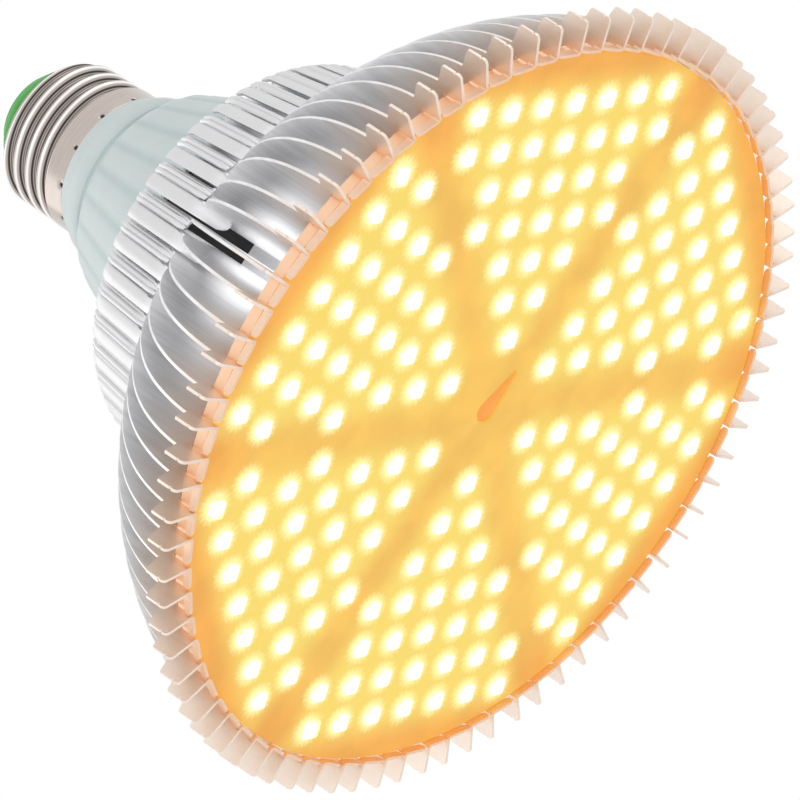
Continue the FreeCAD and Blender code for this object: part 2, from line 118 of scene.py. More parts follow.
HOLE_REACH = 8.0
HOLE_TIP = 0.6
HOLE_MIDDLE = 3.2
NECK_GROOVE = 80.9
LEAD_RADIUS = 0.7

WHITE = (1.0, 1.0, 1.0)
DARK = (0.0, 0.0, 0.0)


def clamp(value, low=0.0, high=1.0):
    return max(low, min(high, value))


def smooth(value, start, end):
    """Soft step from 0 at start to 1 at end."""
    t = clamp((value - start) / (end - start))
    return t * t * (3 - 2 * t)


def around(radius, degrees, height):
    angle = math.radians(degrees)
    return (radius * math.cos(angle), radius * math.sin(angle), height)


def circle(radius, height, steps):
    """Points round the lamp's axis."""
    return [around(radius, 360.0 * i / steps, height) for i in range(steps)]


def bell_radius(height):
    """Outline of the bell; the height is a number or a wire."""
    return BELL_RADIUS - BELL_FLARE * (height - BELL_WIDEST) ** 2


def rear_radius(height):
    """Outline of the rear tier; the height is a number or a wire."""
    return REAR_RADIUS + REAR_SLOPE * (REAR_TOP - height)


class Blank:
    """Points and faces of one piece while it is being shaped, in millimetres."""

    def __init__(self):
        self.points = []
        self.faces = []

    def add(self, points, faces):
        first = len(self.points)
        self.points += [tuple(point) for point in points]
        self.faces += [tuple(first + i for i in face) for face in faces]

    def join(self, other, matrix=None):
        points = [Vector(point) for point in other.points]
        if matrix is not None:
            points = [matrix @ point for point in points]
        self.add(points, other.faces)

    def grid(self, rows, closed=False):
        """Quads between rows of points; closed joins each row's ends."""
        count = len(rows[0])
        faces = []
        for i in range(len(rows) - 1):
            for j in range(count if closed else count - 1):
                k = (j + 1) % count
                faces.append((i * count + j, i * count + k,
                              (i + 1) * count + k, (i + 1) * count + j))
        self.add([point for row in rows for point in row], faces)

    def turned(self, profile, steps):
        """Surface turned about the axis; a profile that starts and ends on it is closed."""
        self.grid([circle(radius, height, steps) for radius, height in profile], closed=True)

    def capped(self, rows):
        """Skin over rings of points, with a flat face at both ends."""
        first, count = len(self.points), len(rows[0])
        self.grid(rows, closed=True)
        last = len(self.points) - count
        self.faces.append(tuple(range(first, first + count)))
        self.faces.append(tuple(range(last, last + count)))

    def plate(self, outline, low, high):
        """Flat plate of an outline in X and Y, between two heights."""
        count = len(outline)
        points = [(x, y, low) for x, y in outline] + [(x, y, high) for x, y in outline]
        faces = [tuple(reversed(range(count))), tuple(range(count, 2 * count))]
        faces += [(i, (i + 1) % count, count + (i + 1) % count, count + i)
                  for i in range(count)]
        self.add(points, faces)

    def tube(self, path, radius, sides=16):
        """Round lead along a path in the plane of X and Z."""
        places = [Vector(point) for point in path]
        across = Vector((0, 1, 0))
        rows = []
        for i, place in enumerate(places):
            ahead = places[min(i + 1, len(places) - 1)] - places[max(i - 1, 0)]
            other = ahead.normalized().cross(across)
            rows.append([tuple(place + across * radius * math.cos(2 * math.pi * k / sides)
                               + other * radius * math.sin(2 * math.pi * k / sides))
                         for k in range(sides)])
        self.capped(rows)

    def sheet(self, rows, thickness):
        """Closed thin sheet about a grid of middle points."""
        grid = [[Vector(point) for point in row] for row in rows]
        outer, inner = [], []
        for i, row in enumerate(grid):
            outer.append([])
            inner.append([])
            for j, point in enumerate(row):
                along = row[min(j + 1, len(row) - 1)] - row[max(j - 1, 0)]
                across = grid[min(i + 1, len(grid) - 1)][j] - grid[max(i - 1, 0)][j]
                side = along.cross(across).normalized() * thickness / 2
                outer[-1].append(point + side)
                inner[-1].append(point - side)
        part = Blank()
        part.grid(outer)
        part.grid(inner)
        count = len(grid[0])
        last = (len(grid) - 1) * count
        behind = len(grid) * count
        edge = list(range(count))
        edge += [i * count + count - 1 for i in range(1, len(grid))]
        edge += [last + j for j in range(count - 2, -1, -1)]
        edge += [i * count for i in range(len(grid) - 2, 0, -1)]
        for here, there in zip(edge, edge[1:] + edge[:1]):
            part.faces.append((here, there, there + behind, here + behind))
        self.join(part)

    def piece(self, name, finish, slot, nodes=(), crease=32.0):
        """The finished object, in place, riding on the lamp's one body."""
        mesh = bpy.data.meshes.new(name)
        mesh.from_pydata([(x * MM, y * MM, z * MM) for x, y, z in self.points], [], self.faces)
        work = bmesh.new()
        work.from_mesh(mesh)
        bmesh.ops.remove_doubles(work, verts=work.verts, dist=1e-7)
        bmesh.ops.recalc_face_normals(work, faces=work.faces)
        work.to_mesh(mesh)
        work.free()
        mesh.polygons.foreach_set("use_smooth", [True] * len(mesh.polygons))
        mesh.set_sharp_from_angle(angle=math.radians(crease))
        mesh.materials.append(finish)
        thing = bpy.data.objects.new(name, mesh)
        bpy.context.scene.collection.objects.link(thing)
        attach(thing, "root")
        if nodes:
            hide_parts(*nodes)
        return thing


def arithmetic(operation, swapped=False):
    """A method that lays a Math node for two values."""
    def apply(self, other):
        return self.maths(operation, *((other, self) if swapped else (self, other)))
    return apply


class Wire:
    """A socket in a node tree, with arithmetic on its values."""

    def __init__(self, nodes, socket):
        self.nodes = nodes
        self.socket = socket

    def maths(self, operation, *values):
        return self.nodes.node("ShaderNodeMath", {"operation": operation},
                               dict(enumerate(values)))

    __add__ = arithmetic("ADD")
    __radd__ = arithmetic("ADD", swapped=True)
    __sub__ = arithmetic("SUBTRACT")
    __rsub__ = arithmetic("SUBTRACT", swapped=True)
    __mul__ = arithmetic("MULTIPLY")
    __rmul__ = arithmetic("MULTIPLY", swapped=True)
    __truediv__ = arithmetic("DIVIDE")
    __rtruediv__ = arithmetic("DIVIDE", swapped=True)
    __pow__ = arithmetic("POWER")
    over = arithmetic("GREATER_THAN")
    lower_of = arithmetic("MINIMUM")
    higher_of = arithmetic("MAXIMUM")
    heading = arithmetic("ARCTAN2")

    def __neg__(self):
        return self * -1.0

    def __abs__(self):
        return self.maths("ABSOLUTE", self)

    def rounded(self):
        return self.maths("ROUND", self)

    def sine(self):
        return self.maths("SINE", self)

    def cosine(self):
        return self.maths("COSINE", self)

    def within(self, low, high):
        return self.higher_of(low).lower_of(high)

    def slant(self, other):
        """Length of the slant over this value and another at right angles to it."""
        return (self * self + other * other) ** 0.5

    def step(self, start, end, low=0.0, high=1.0):
        """Soft step from low to high as this value goes from start to end."""
        return self.nodes.node("ShaderNodeMapRange", {"interpolation_type": "SMOOTHSTEP"},
                               {0: self, 1: start, 2: end, 3: low, 4: high})

    def fall(self, start, end):
        return self.step(start, end, 1.0, 0.0)


class Nodes:
    """The node tree of a material or a world, laid by code."""

    def __init__(self, owner, output):
        owner.use_nodes = True
        self.owner = owner
        self.tree = owner.node_tree
        self.tree.nodes.clear()
        self.out = self.tree.nodes.new(output)

    def node(self, kind, settings=None, inputs=None, output=0):
        """Any node: its settings first, then its sockets' values or links."""
        made = self.tree.nodes.new(kind)
        for key, value in (settings or {}).items():
            setattr(made, key, value)
        for key, value in (inputs or {}).items():
            socket = made.inputs[key]
            if isinstance(value, Wire):
                self.tree.links.new(value.socket, socket)
            else:
                socket.default_value = value
        return Wire(self, made.outputs[output])

    def reflected(self):
        """1 for rays that a mirror or a clear surface sends on, 0 for others."""
        glossy = self.node("ShaderNodeLightPath", output="Is Glossy Ray")
        return glossy.higher_of(self.node("ShaderNodeLightPath", output="Is Transmission Ray"))

    def mix(self, first, second, factor):
        """Shader between two others."""
        return self.node("ShaderNodeMixShader", None, {0: factor, 1: first, 2: second})

    def surface(self, shader):
        self.tree.links.new(shader.socket, self.out.inputs["Surface"])
        return self.owner


class Finish(Nodes):
    """A material, with the means to vary it over the lamp."""

    def __init__(self, name):
        super().__init__(bpy.data.materials.new(name), "ShaderNodeOutputMaterial")
        self.place = self.node("ShaderNodeTexCoord", output="Object")

    def axes(self):
        """X, Y and Z of the lamp's frame, in millimetres."""
        scaled = self.node("ShaderNodeVectorMath", {"operation": "SCALE"},
                           {0: self.place, "Scale": 1.0 / MM})
        return [self.node("ShaderNodeSeparateXYZ", None, {0: scaled}, axis) for axis in "XYZ"]

    def speckle(self, scale, detail=2.0, stretch=(1.0, 1.0, 1.0)):
        """Noise from 0 to 1; scale is in grains per millimetre."""
        stretched = self.node("ShaderNodeVectorMath", {"operation": "MULTIPLY"},
                              {0: self.place, 1: stretch})
        return self.node("ShaderNodeTexNoise", None,
                         {"Vector": stretched, "Scale": scale / MM, "Detail": detail}, "Fac")

    def blend(self, first, second, factor, how="MIX"):
        return self.node("ShaderNodeMix", {"data_type": "RGBA", "blend_type": how},
                         {0: factor, 6: first, 7: second}, 2)

    def shades(self, colour, share, factor):
        """From a share of a colour to the full colour."""
        return self.blend(opaque(colour, share), opaque(colour), factor)

    def bump(self, height, depth, strength):
        return self.node("ShaderNodeBump", None,
                         {"Height": height, "Distance": depth * MM, "Strength": strength})

    def shade(self, **sockets):
        """The surface; sockets are named with spaces as underscores."""
        inputs = {key.replace("_", " "): value for key, value in sockets.items()}
        return self.surface(self.node("ShaderNodeBsdfPrincipled", None, inputs))


def opaque(colour, share=1.0):
    """Full colour, or a share of it, for a socket."""
    return (colour[0] * share, colour[1] * share, colour[2] * share, 1.0)


def from_screen(red, green, blue):
    """Linear colour of a screen colour from 0 to 255."""
    linear = []
    for value in (red, green, blue):
        part = value / 255.0
        linear.append(part / 12.92 if part <= 0.04045 else ((part + 0.055) / 1.055) ** 2.4)
    return tuple(linear)


def length(name, description, default, low, high):
    """Property for a length; the numbers are in millimetres."""
    return bpy.props.FloatProperty(name=name, description=description, default=default * MM,
                                   min=low * MM, max=high * MM, unit="LENGTH", precision=4)


def tint(name, description, default):
    """Property for a colour."""
    return bpy.props.FloatVectorProperty(name=name, description=description, default=default,
                                         subtype="COLOR", min=0.0, max=1.0)


# Sizes and colours that a user would change
class FinSizes(bpy.types.PropertyGroup):
    sheet: length("Sheet", "Thickness of the fins' sheet", 0.5, 0.2, 1.0)
    fold: length("Fold Radius", "Radius of the folds along the fins' edges", 0.5, 0.2, 1.0)
    spread: bpy.props.FloatProperty(
        name="Spread", description="How far a fin may stand off its even place",
        default=math.radians(0.2), min=0.0, max=math.radians(0.4), unit="ROTATION")
    metal: tint("Metal", "Colour of the bare aluminium", (0.92, 0.92, 0.93))
    # Painted warm light: the glow of the lit face, painted into the fins' colour
    painted_warm_light: tint("Warm Edge", "Tint that the lit face lends the head of the fins",
                 (0.98, 0.82, 0.68))
    # Painted glow: the lit face's orange light on the tabs and the lower blades
    glow: tint("Tabs", "Tint of the folded tabs, next to the lit face", (0.96, 0.62, 0.39))


class LightColours(bpy.types.PropertyGroup):
    ground: tint("Board", "Glow of the board between the groups", from_screen(246, 194, 84))
    margin: tint("Board Margin", "Glow of the board beside the fins", from_screen(245, 172, 70))
    halo: tint("Wedges", "Glow of the board among the light sources",
               from_screen(244, 218, 104))
    near: tint("Halo", "Glow of the board close to a light source", from_screen(255, 248, 170))
    # Painted glow: the board's amber light in the sealant
    sealant: tint("Sealant", "Colour of the sealed wire hole", from_screen(247, 166, 62))
    core: tint("Light", "Colour of the light sources' middle", from_screen(255, 254, 236))
    rim: tint("Light Edge", "Colour of the light sources' edge", from_screen(255, 238, 150))


class NeckSizes(bpy.types.PropertyGroup):
    lobe: length("Flute Depth", "Depth of the soft flutes of the skirt", 0.4, 0.0, 1.0)
    plastic: tint("Plastic", "Colour of the neck's plastic", from_screen(218, 228, 227))
    cup: tint("Cup", "Colour of the driver cup", (0.012, 0.012, 0.013))


class BaseSizes(bpy.types.PropertyGroup):
    pitch: length("Thread Pitch", "Pitch of the screw cap's thread", 2.9, 2.0, 5.0)
    depth: length("Thread Depth", "Depth of the screw cap's thread", 1.05, 0.2, 1.4)
    nickel: tint("Nickel", "Colour of the screw cap's plating", (0.60, 0.53, 0.485))
    insulator: tint("Insulator", "Colour of the cap's insulator", from_screen(22, 172, 14))


class StageSizes(bpy.types.PropertyGroup):
    floor: tint("Floor", "Colour of the floor", (0.82, 0.82, 0.82))
    daylight: bpy.props.FloatProperty(
        name="Daylight", description="Strength of the even light all round",
        default=0.66, min=0.0, max=2.0)
    key: bpy.props.FloatProperty(
        name="Key Light", description="Power of the main lamp", default=3.6, min=0.0,
        max=100.0, unit="POWER")


# Materials
def fin_aluminium(sizes):
    """Rolled sheet: bright, faintly streaked, with a painted warm glow next to the lit face."""
    finish = Finish("fin_aluminium")
    x, y, z = finish.axes()
    radius = x.slant(y)
    streaks = finish.speckle(0.5, 3.0, (1.0, 1.0, 0.12))
    grains = finish.speckle(4.0, 2.0, (1.0, 1.0, 0.3))
    # Painted warm light from the lit face, fading out between 0.5 and 20 mm up
    warm = z.fall(0.5, 20.0)
    # Painted glow on the tabs beside the lit face
    beside_face = radius.fall(62.7, 64.6) * z.fall(2.8, 7.0)
    beside_face = beside_face * radius.step(60.0, 61.5)
    streaks_and_painted_shade = finish.shades(sizes.metal, 0.86, streaks.step(0.3, 0.7))
    tier = z.step(WAIST, TIER_START + 1.0)
    # Painted shade: the rear tier's outer sheet is a darker copy of the same metal
    streaks_and_painted_shade = finish.blend(streaks_and_painted_shade, opaque(sizes.metal, 0.8), tier * radius.step(31.0, 34.0))
    # Painted glow on the lower outer blades near the lit face
    lit = z.fall(2.0, 13.0) * radius.step(40.0, 54.0)
    lit = lit * radius.fall(59.0, 62.0)
    painted_glow_colour = finish.blend(streaks_and_painted_shade, opaque(sizes.painted_warm_light), warm * 0.8)
    painted_glow_colour = finish.blend(painted_glow_colour, opaque(sizes.glow),
                          (beside_face * 0.6 + lit * 0.5).within(0.0, 0.9))
    # Light that the fins throw to and fro deep in their gaps
    deep = (bell_radius(z) - radius).step(6.0, 17.0) * (1.0 - tier)
    behind = (rear_radius(z) - radius).step(1.5, 6.0) * tier
    deep = deep + behind * z.fall(TIER_START, REAR_TOP - 3.0)
    scattered = finish.blend(opaque(DARK), painted_glow_colour, deep * z.step(12.0, 24.0, 0.04, 1.0))
    return finish.shade(Base_Color=painted_glow_colour, Metallic=0.7,
                        Roughness=0.28 + 0.14 * streaks + 0.05 * grains,
                        Emission_Color=scattered, Emission_Strength=0.4,
                        Normal=finish.bump(grains * 0.5 + streaks, 0.05, 0.4))


def plate_aluminium():
    """Cast-looking plate and drawn sleeve, lit at the edge by what leaks past the board."""
    finish = Finish("plate_aluminium")
    x, y = finish.axes()[:2]
    edge = x.slant(y).step(54.0, 61.0)
    grains = finish.speckle(2.5, 4.0)
    colour = finish.blend((0.74, 0.74, 0.75, 1.0), (0.86, 0.86, 0.87, 1.0), grains)
    colour = finish.blend(colour, (0.82, 0.58, 0.42, 1.0), edge)
    leak = finish.blend(opaque(DARK), (0.50, 0.25, 0.10, 1.0), edge)
    return finish.shade(Base_Color=colour, Metallic=0.8, Roughness=0.3 + 0.2 * grains,
                        Emission_Color=leak, Emission_Strength=0.38,
                        Normal=finish.bump(grains, 0.04, 0.5))


def light_places(finish):
    """Places from the nearest light source's middle, then in its wedge, in millimetres."""
    x, y = finish.axes()[:2]
    radius = x.slant(y)
    own = y.heading(x) - math.radians(BOARD_TURN)
    sector = 2 * math.pi / WEDGES
    local = own - (own / sector).rounded() * sector
    out = radius * local.cosine()
    across = radius * local.sine()
    row = ((out - FIRST_ROW) / ROW_PITCH).rounded().within(0.0, len(LIGHT_ROWS) - 1)
    # Columns on each side of a row's middle, and what shifts a row of two by half a column
    half = 0.5 * row.over(0.5) + 0.5 * row.over(1.5) + row.over(2.5) + row.over(4.5)
    odd = 0.5 * row.over(0.5) - 0.5 * row.over(1.5)
    column = ((across / LIGHT_PITCH - odd).rounded() + odd).within(-half, half)
    away_out = out - (row * ROW_PITCH + FIRST_ROW)
    away_across = across - column * LIGHT_PITCH
    return away_out, away_across, out, across


def board_mask(colours):
    """Solder mask of the board, lit by its own light sources."""
    finish = Finish("board_mask")
    away_out, away_across, out, across = light_places(finish)
    distance = away_out.slant(away_across)
    streaks = finish.speckle(1.6, 3.0)
    mottle = finish.speckle(0.12, 3.0)
    wedge_side = (out - FIRST_ROW) * 0.53
    wedge = (abs(across) - wedge_side - 2.0 * mottle).fall(-1.0, 6.5)
    wedge = wedge * out.step(7.0, 14.0) * out.fall(53.0, 60.0)
    angle = away_across.heading(away_out)
    rays = 0.5 + 0.3 * (angle * 17).sine() + 0.2 * (angle * 29 + 1.3).sine()
    near = (distance - 0.9 * streaks - 0.4 * rays).fall(0.9, 3.0)
    ground = finish.blend(opaque(colours.ground), opaque(colours.margin),
                          out.slant(across).step(49.0, 61.0))
    dimmer = finish.blend(ground, opaque((0.88, 0.88, 0.88)), 1.0, "MULTIPLY")
    ground = finish.blend(dimmer, ground, mottle.step(0.3, 0.7))
    glow = finish.blend(ground, opaque(colours.halo), wedge * (0.65 + 0.35 * streaks))
    glow = finish.blend(glow, opaque(colours.near), near)
    return finish.shade(Base_Color=(0.05, 0.03, 0.01, 1.0), Roughness=0.5,
                        Emission_Color=glow, Emission_Strength=0.96,
                        Normal=finish.bump(streaks, 0.05, 0.4))


def hole_sealant(colour):
    """Clear sealant over the leads, amber in the light of the board."""
    finish = Finish("hole_sealant")
    cloud = finish.speckle(0.6)
    # Painted glow of the board's light, over the sealant's own deep amber
    return finish.shade(Base_Color=(0.25, 0.09, 0.02, 1.0), Roughness=0.3,
                        Emission_Color=finish.shades(colour, 0.8, cloud),
                        Emission_Strength=0.85,
                        Normal=finish.bump(cloud, 0.1, 0.4))


def light_phosphor(colours):
    """Phosphor of the light sources: nearly white, yellower at the edge."""
    finish = Finish("light_phosphor")
    away_out, away_across = light_places(finish)[:2]
    grain = finish.speckle(3.0)
    rim = (away_out.slant(away_across) + 0.3 * grain).step(1.4, 2.1)
    glow = finish.blend(opaque(colours.core), opaque(colours.rim), rim)
    return finish.shade(Base_Color=(0.8, 0.66, 0.3, 1.0), Roughness=0.4,
                        Emission_Color=glow, Emission_Strength=1.25)


def black_plastic(colour):
    finish = Finish("black_plastic")
    grain = finish.speckle(3.0, 3.0)
    mottle = finish.speckle(0.2)
    shade = finish.blend(opaque(colour), opaque(colour, 2.2), mottle)
    return finish.shade(Base_Color=shade, Roughness=0.38 + 0.2 * grain,
                        Normal=finish.bump(grain, 0.03, 0.5))


def neck_plastic(colour):
    """Half-clear pale plastic, with painted shade in the valleys between the flutes and along the
    groove.
    """
    finish = Finish("neck_plastic")
    x, y, z = finish.axes()
    lobes = abs((y.heading(x) * (FLUTES / 2)).cosine())
    skirt = z.fall(77.5, 80.0)
    cloud = finish.speckle(0.25, 3.0)
    grain = finish.speckle(5.0)
    # Painted shade in the flute valleys and the groove; the cloud is the plastic's own uneven
    # tone
    valley = lobes.fall(0.0, 0.8) * skirt
    groove = abs(z - NECK_GROOVE).fall(0.2, 1.8)
    deep = (valley * 0.5 + groove * 0.3 + 0.25 * cloud).within(0.0, 1.0)
    shaded = (colour[0] * 0.7, colour[1] * 0.78, colour[2] * 0.78)
    shade = finish.blend(opaque(colour), opaque(shaded), deep)
    return finish.shade(Base_Color=shade, Roughness=0.36 + 0.12 * grain,
                        Subsurface_Weight=0.2, Subsurface_Scale=0.0015,
                        Normal=finish.bump(grain, 0.02, 0.5))


def base_nickel(sizes):
    """Plated sheet: warm, with drawn streaks; painted shade darkens the roots and the crimp
    dimples, with painted highlight bands and shadow lines on the thread.
    """
    finish = Finish("base_nickel")
    pitch = sizes.pitch / MM
    x, y, z = finish.axes()
    turn = y.heading(x)
    radius = x.slant(y)
    streaks = finish.speckle(0.9, 3.0, (0.25, 0.25, 2.2))
    grain = finish.speckle(6.0)
    # Painted shade in the thread's roots
    root = radius.fall(SHELL_RADIUS - 1.05, SHELL_RADIUS - 0.35)
    root = root * z.step(COLLAR_TOP - 0.2, COLLAR_TOP + 0.6)
    root = root * z.fall(SHELL_END - 1.4, SHELL_END - 0.6)
    step = 2 * math.pi / CRIMP_COUNT
    own = turn - math.radians(CRIMP_FIRST)
    beside = (own - (own / step).rounded() * step) * SHELL_RADIUS
    # Painted shade in the crimp dimples
    painted_dimple_shade = beside.slant(z - CRIMP_HEIGHT).fall(0.25, 0.6)
    crest = THREAD_CREST + (turn - math.radians(THREAD_TURN)) * (pitch / (2 * math.pi))
    laps = (z - crest) / pitch
    lap = laps - laps.rounded()
    threaded = z.step(COLLAR_TOP + 0.3, COLLAR_TOP + 0.8)
    # Painted highlight: a white band on the near flank of each crest
    bright = abs(lap + 0.11).fall(0.03, 0.10) * threaded
    # Painted shadow lines in the roots, a painted dim reflection just past each crest, and
    # painted shade where the thread starts at the collar
    painted_root_shadow = abs(lap + 0.31).fall(0.02, 0.06)
    painted_root_line = abs(lap + 0.42).fall(0.01, 0.04) * 0.7
    painted_crest_reflection = abs(lap - 0.08).fall(0.015, 0.05) * 0.75
    painted_start_shadow = abs(z - COLLAR_TOP - 0.4).fall(0.1, 0.3) * 0.7
    painted_dark_lines = ((painted_root_shadow + painted_root_line + painted_crest_reflection) * threaded + painted_start_shadow).within(0.0, 0.95)
    # Painted shade: darker in the roots and over the whole threaded part
    streaks_and_painted_shade = finish.blend(finish.shades(sizes.nickel, 0.8, streaks), opaque(sizes.nickel, 0.5),
                          (root * 0.4 + threaded * 0.3).within(0.0, 0.6))
    painted_highlight_and_lines = finish.blend(streaks_and_painted_shade, (0.97, 0.95, 0.92, 1.0), bright)
    painted_highlight_and_lines = finish.blend(painted_highlight_and_lines, (0.035, 0.028, 0.025, 1.0), painted_dark_lines)
    with_painted_dimple_shade = finish.blend(painted_highlight_and_lines, (0.05, 0.035, 0.03, 1.0), painted_dimple_shade)
    return finish.shade(Base_Color=with_painted_dimple_shade, Metallic=1.0, Roughness=0.13 + 0.12 * streaks,
                        Normal=finish.bump(grain + streaks, 0.02, 0.4))


def insulator_green(colour):
    finish = Finish("insulator_green")
    cloud = finish.speckle(0.3, 3.0)
    grain = finish.speckle(4.0)
    return finish.shade(Base_Color=finish.shades(colour, 0.8, cloud.step(0.3, 0.7)),
                        Roughness=0.34 + 0.1 * grain, Specular_IOR_Level=0.22,
                        Normal=finish.bump(grain, 0.02, 0.4))


def contact_metal():
    """Tinned contact, mottled darker and paler."""
    finish = Finish("contact_metal")
    grain = finish.speckle(1.4, 4.0)
    shade = finish.blend((0.42, 0.41, 0.39, 1.0), (0.70, 0.69, 0.66, 1.0), grain)
    return finish.shade(Base_Color=shade, Metallic=1.0, Roughness=0.25 + 0.3 * grain,
                        Normal=finish.bump(grain, 0.12, 0.6))


def circuit_laminate():
    """Green laminate with paler tracks."""
    finish = Finish("circuit_laminate")
    weave = finish.speckle(1.5)
    cells = finish.node("ShaderNodeTexBrick", {"offset": 0.5},
                        {"Vector": finish.place, "Scale": 1.0 / MM, "Color1": (0, 0, 0, 1),
                         "Color2": (0, 0, 0, 1), "Mortar": (1, 1, 1, 1), "Mortar Size": 0.3,
                         "Brick Width": 6.5, "Row Height": 3.0}, "Fac")
    shade = finish.blend((0.02, 0.13, 0.05, 1.0), (0.05, 0.25, 0.10, 1.0), cells)
    shade = finish.blend(shade, (0.03, 0.16, 0.06, 1.0), weave * 0.5)
    return finish.shade(Base_Color=shade, Roughness=0.35 + 0.2 * weave,
                        Normal=finish.bump(cells, 0.05, 0.5))


def wrapped(name, colour, second, rough):
    """Sleeves, tape and cases of the driver's parts: wrap lines and a worn surface."""
    finish = Finish(name)
    height = finish.axes()[2]
    grain = finish.speckle(2.0, 3.0)
    bands = (height * 1.1).sine().step(0.75, 0.95)
    shade = finish.blend(opaque(colour), opaque(second), bands * 0.5 + grain * 0.3)
    return finish.shade(Base_Color=shade, Roughness=rough + 0.15 * grain,
                        Normal=finish.bump(grain + bands, 0.05, 0.4))


# Fins
def rounded_corner(centre, radius, start, end, steps=4):
    points = []
    for i in range(steps + 1):
        angle = math.radians(start + (end - start) * i / steps)
        points.append((centre[0] + radius * math.cos(angle),
                       centre[1] + radius * math.sin(angle)))
    return points


def blade_outline(inset):
    """Radius and height pairs round a blade; inset leaves room for the rear fold."""
    edge = HEAD_RADIUS
    points = [(FIN_BORE, STACK_SEAT), (FACE_RADIUS + 0.3, STACK_SEAT), (FACE_RADIUS + 0.3, 0.0)]
    points += rounded_corner((edge - 0.75, 0.75), 0.75, -90, 0)
    points += [(edge - 0.02, 1.1), (edge - 0.4, 1.3), (edge - 0.02, 1.55)]
    points += rounded_corner((edge - 0.3, HOOK_HEIGHT - 0.3), 0.3, 0, 70, 3)
    steps = 24
    for i in range(steps + 1):
        height = BELL_START + (WAIST - BELL_START) * i / steps
        points.append((bell_radius(height), height))
    start = bell_radius(WAIST)
    for i in range(1, 5):
        height = WAIST + (TIER_START - WAIST) * i / 5.0
        share = smooth(i / 5.0, 0.0, 1.0)
        points.append((start + (rear_radius(TIER_START) - inset - start) * share, height))
    points.append((rear_radius(TIER_START) - inset, TIER_START))
    for i in range(1, 5):
        height = TIER_START + (REAR_TOP - 1.2 - TIER_START) * i / 4.0
        points.append((rear_radius(height) - inset, height))
    points += rounded_corner((rear_radius(REAR_TOP) - inset - 1.2, REAR_TOP - 1.2),
                             1.2, 20, 90, 3)
    points.append((FIN_BORE, REAR_TOP))
    return points


def blade(inset, sheet):
    """Flat blade in the plane of X and Z."""
    part = Blank()
    part.plate(blade_outline(inset), -sheet / 2, sheet / 2)
    part.points = [(x, z, y) for x, y, z in part.points]
    return part


def fold_section(fold, leg):
    """Middle line of a fold that turns from outwards to sideways: outwards, sideways."""
    section = [(-fold - leg, 0.0)]
    for i in range(5):
        angle = math.radians(90.0 * i / 4)
        section.append((-fold + fold * math.sin(angle), -fold + fold * math.cos(angle)))
    return section


def head_tab(width, sheet, fold):
    """Tab folded off the blade's inner front corner, rounded at its free end."""
    section = [(0.9, 0.0)]
    for i in range(5):
        angle = math.radians(90.0 * i / 4)
        section.append((fold - fold * math.sin(angle), -fold + fold * math.cos(angle)))
    for i in range(1, 7):
        across = fold + (width - fold) * i / 6
        section.append((across * across / (2 * FACE_RADIUS), -across))
    rows = []
    for i in range(5):
        row = []
        for out, side in section:
            near_end = smooth(-side, width - 0.8, width)
            low = 0.02 + 0.35 * near_end ** 2
            high = TAB_HEIGHT - 0.35 * near_end ** 2
            row.append((FACE_RADIUS + sheet / 2 + out, side, low + (high - low) * i / 4))
        rows.append(row)
    part = Blank()
    part.sheet(rows, sheet)
    return part


def rear_strip(fold, width, sheet, set_back, steps, form, start_at, share_at):
    """Strip folded off a blade's rear edge and bent in at its end.

    form holds how far the strip stands out from place to place across it, start_at gives
    the strip's start at a distance across, and share_at the share of the form at a height.
    """
    section = fold_section(fold, 0.8)
    folded = len(section) - 2
    for i in range(1, len(form) + 1):
        section.append((form[i - 1], -(fold + (width - fold) * i / len(form))))
    rows = []
    for i in range(steps + 1):
        row = []
        for j, (out, side) in enumerate(section):
            start = TIER_START if j < folded else start_at(-side)
            height = start + (REAR_TOP - 0.02 - start) * i / steps
            lift = -0.7 * smooth(height, REAR_TOP - 1.6, REAR_TOP) ** 2
            row.append((rear_radius(height) - sheet / 2 - set_back + out * share_at(height)
                        + lift, side, height))
        rows.append(row)
    strip = Blank()
    strip.sheet(rows, sheet)
    return strip


def rear_panel(width, sheet, fold, front):
    """Wide panel: arched, with a rounded tongue ahead of the tier."""
    def tongue(across):
        away = clamp((across - width * 0.42) / (width * 0.58), -0.75, 1.0)
        return front + 2.6 * (1 - math.sqrt(max(0.0, 1 - away * away * 0.96)))

    arch = [0.16 * math.sin(math.pi * i / 8) - 0.1 * (i / 8) ** 3 for i in range(1, 9)]
    return rear_strip(fold, width, sheet, 0.2, 12, arch, tongue, lambda height: 1.0)


def rear_ribs(width, sheet, fold, front):
    """Narrow strip pressed with two small ribs."""
    ribs = [0.5 * (math.sin(math.pi * clamp(i / 11 * 2))
                   + math.sin(math.pi * clamp(i / 11 * 2 - 1))) for i in range(1, 12)]
    return rear_strip(fold, width, sheet, 0.55, 8, ribs,
                      lambda across: front + 0.5 * (across / width) ** 2,
                      lambda height: smooth(height, front, front + 1.5))


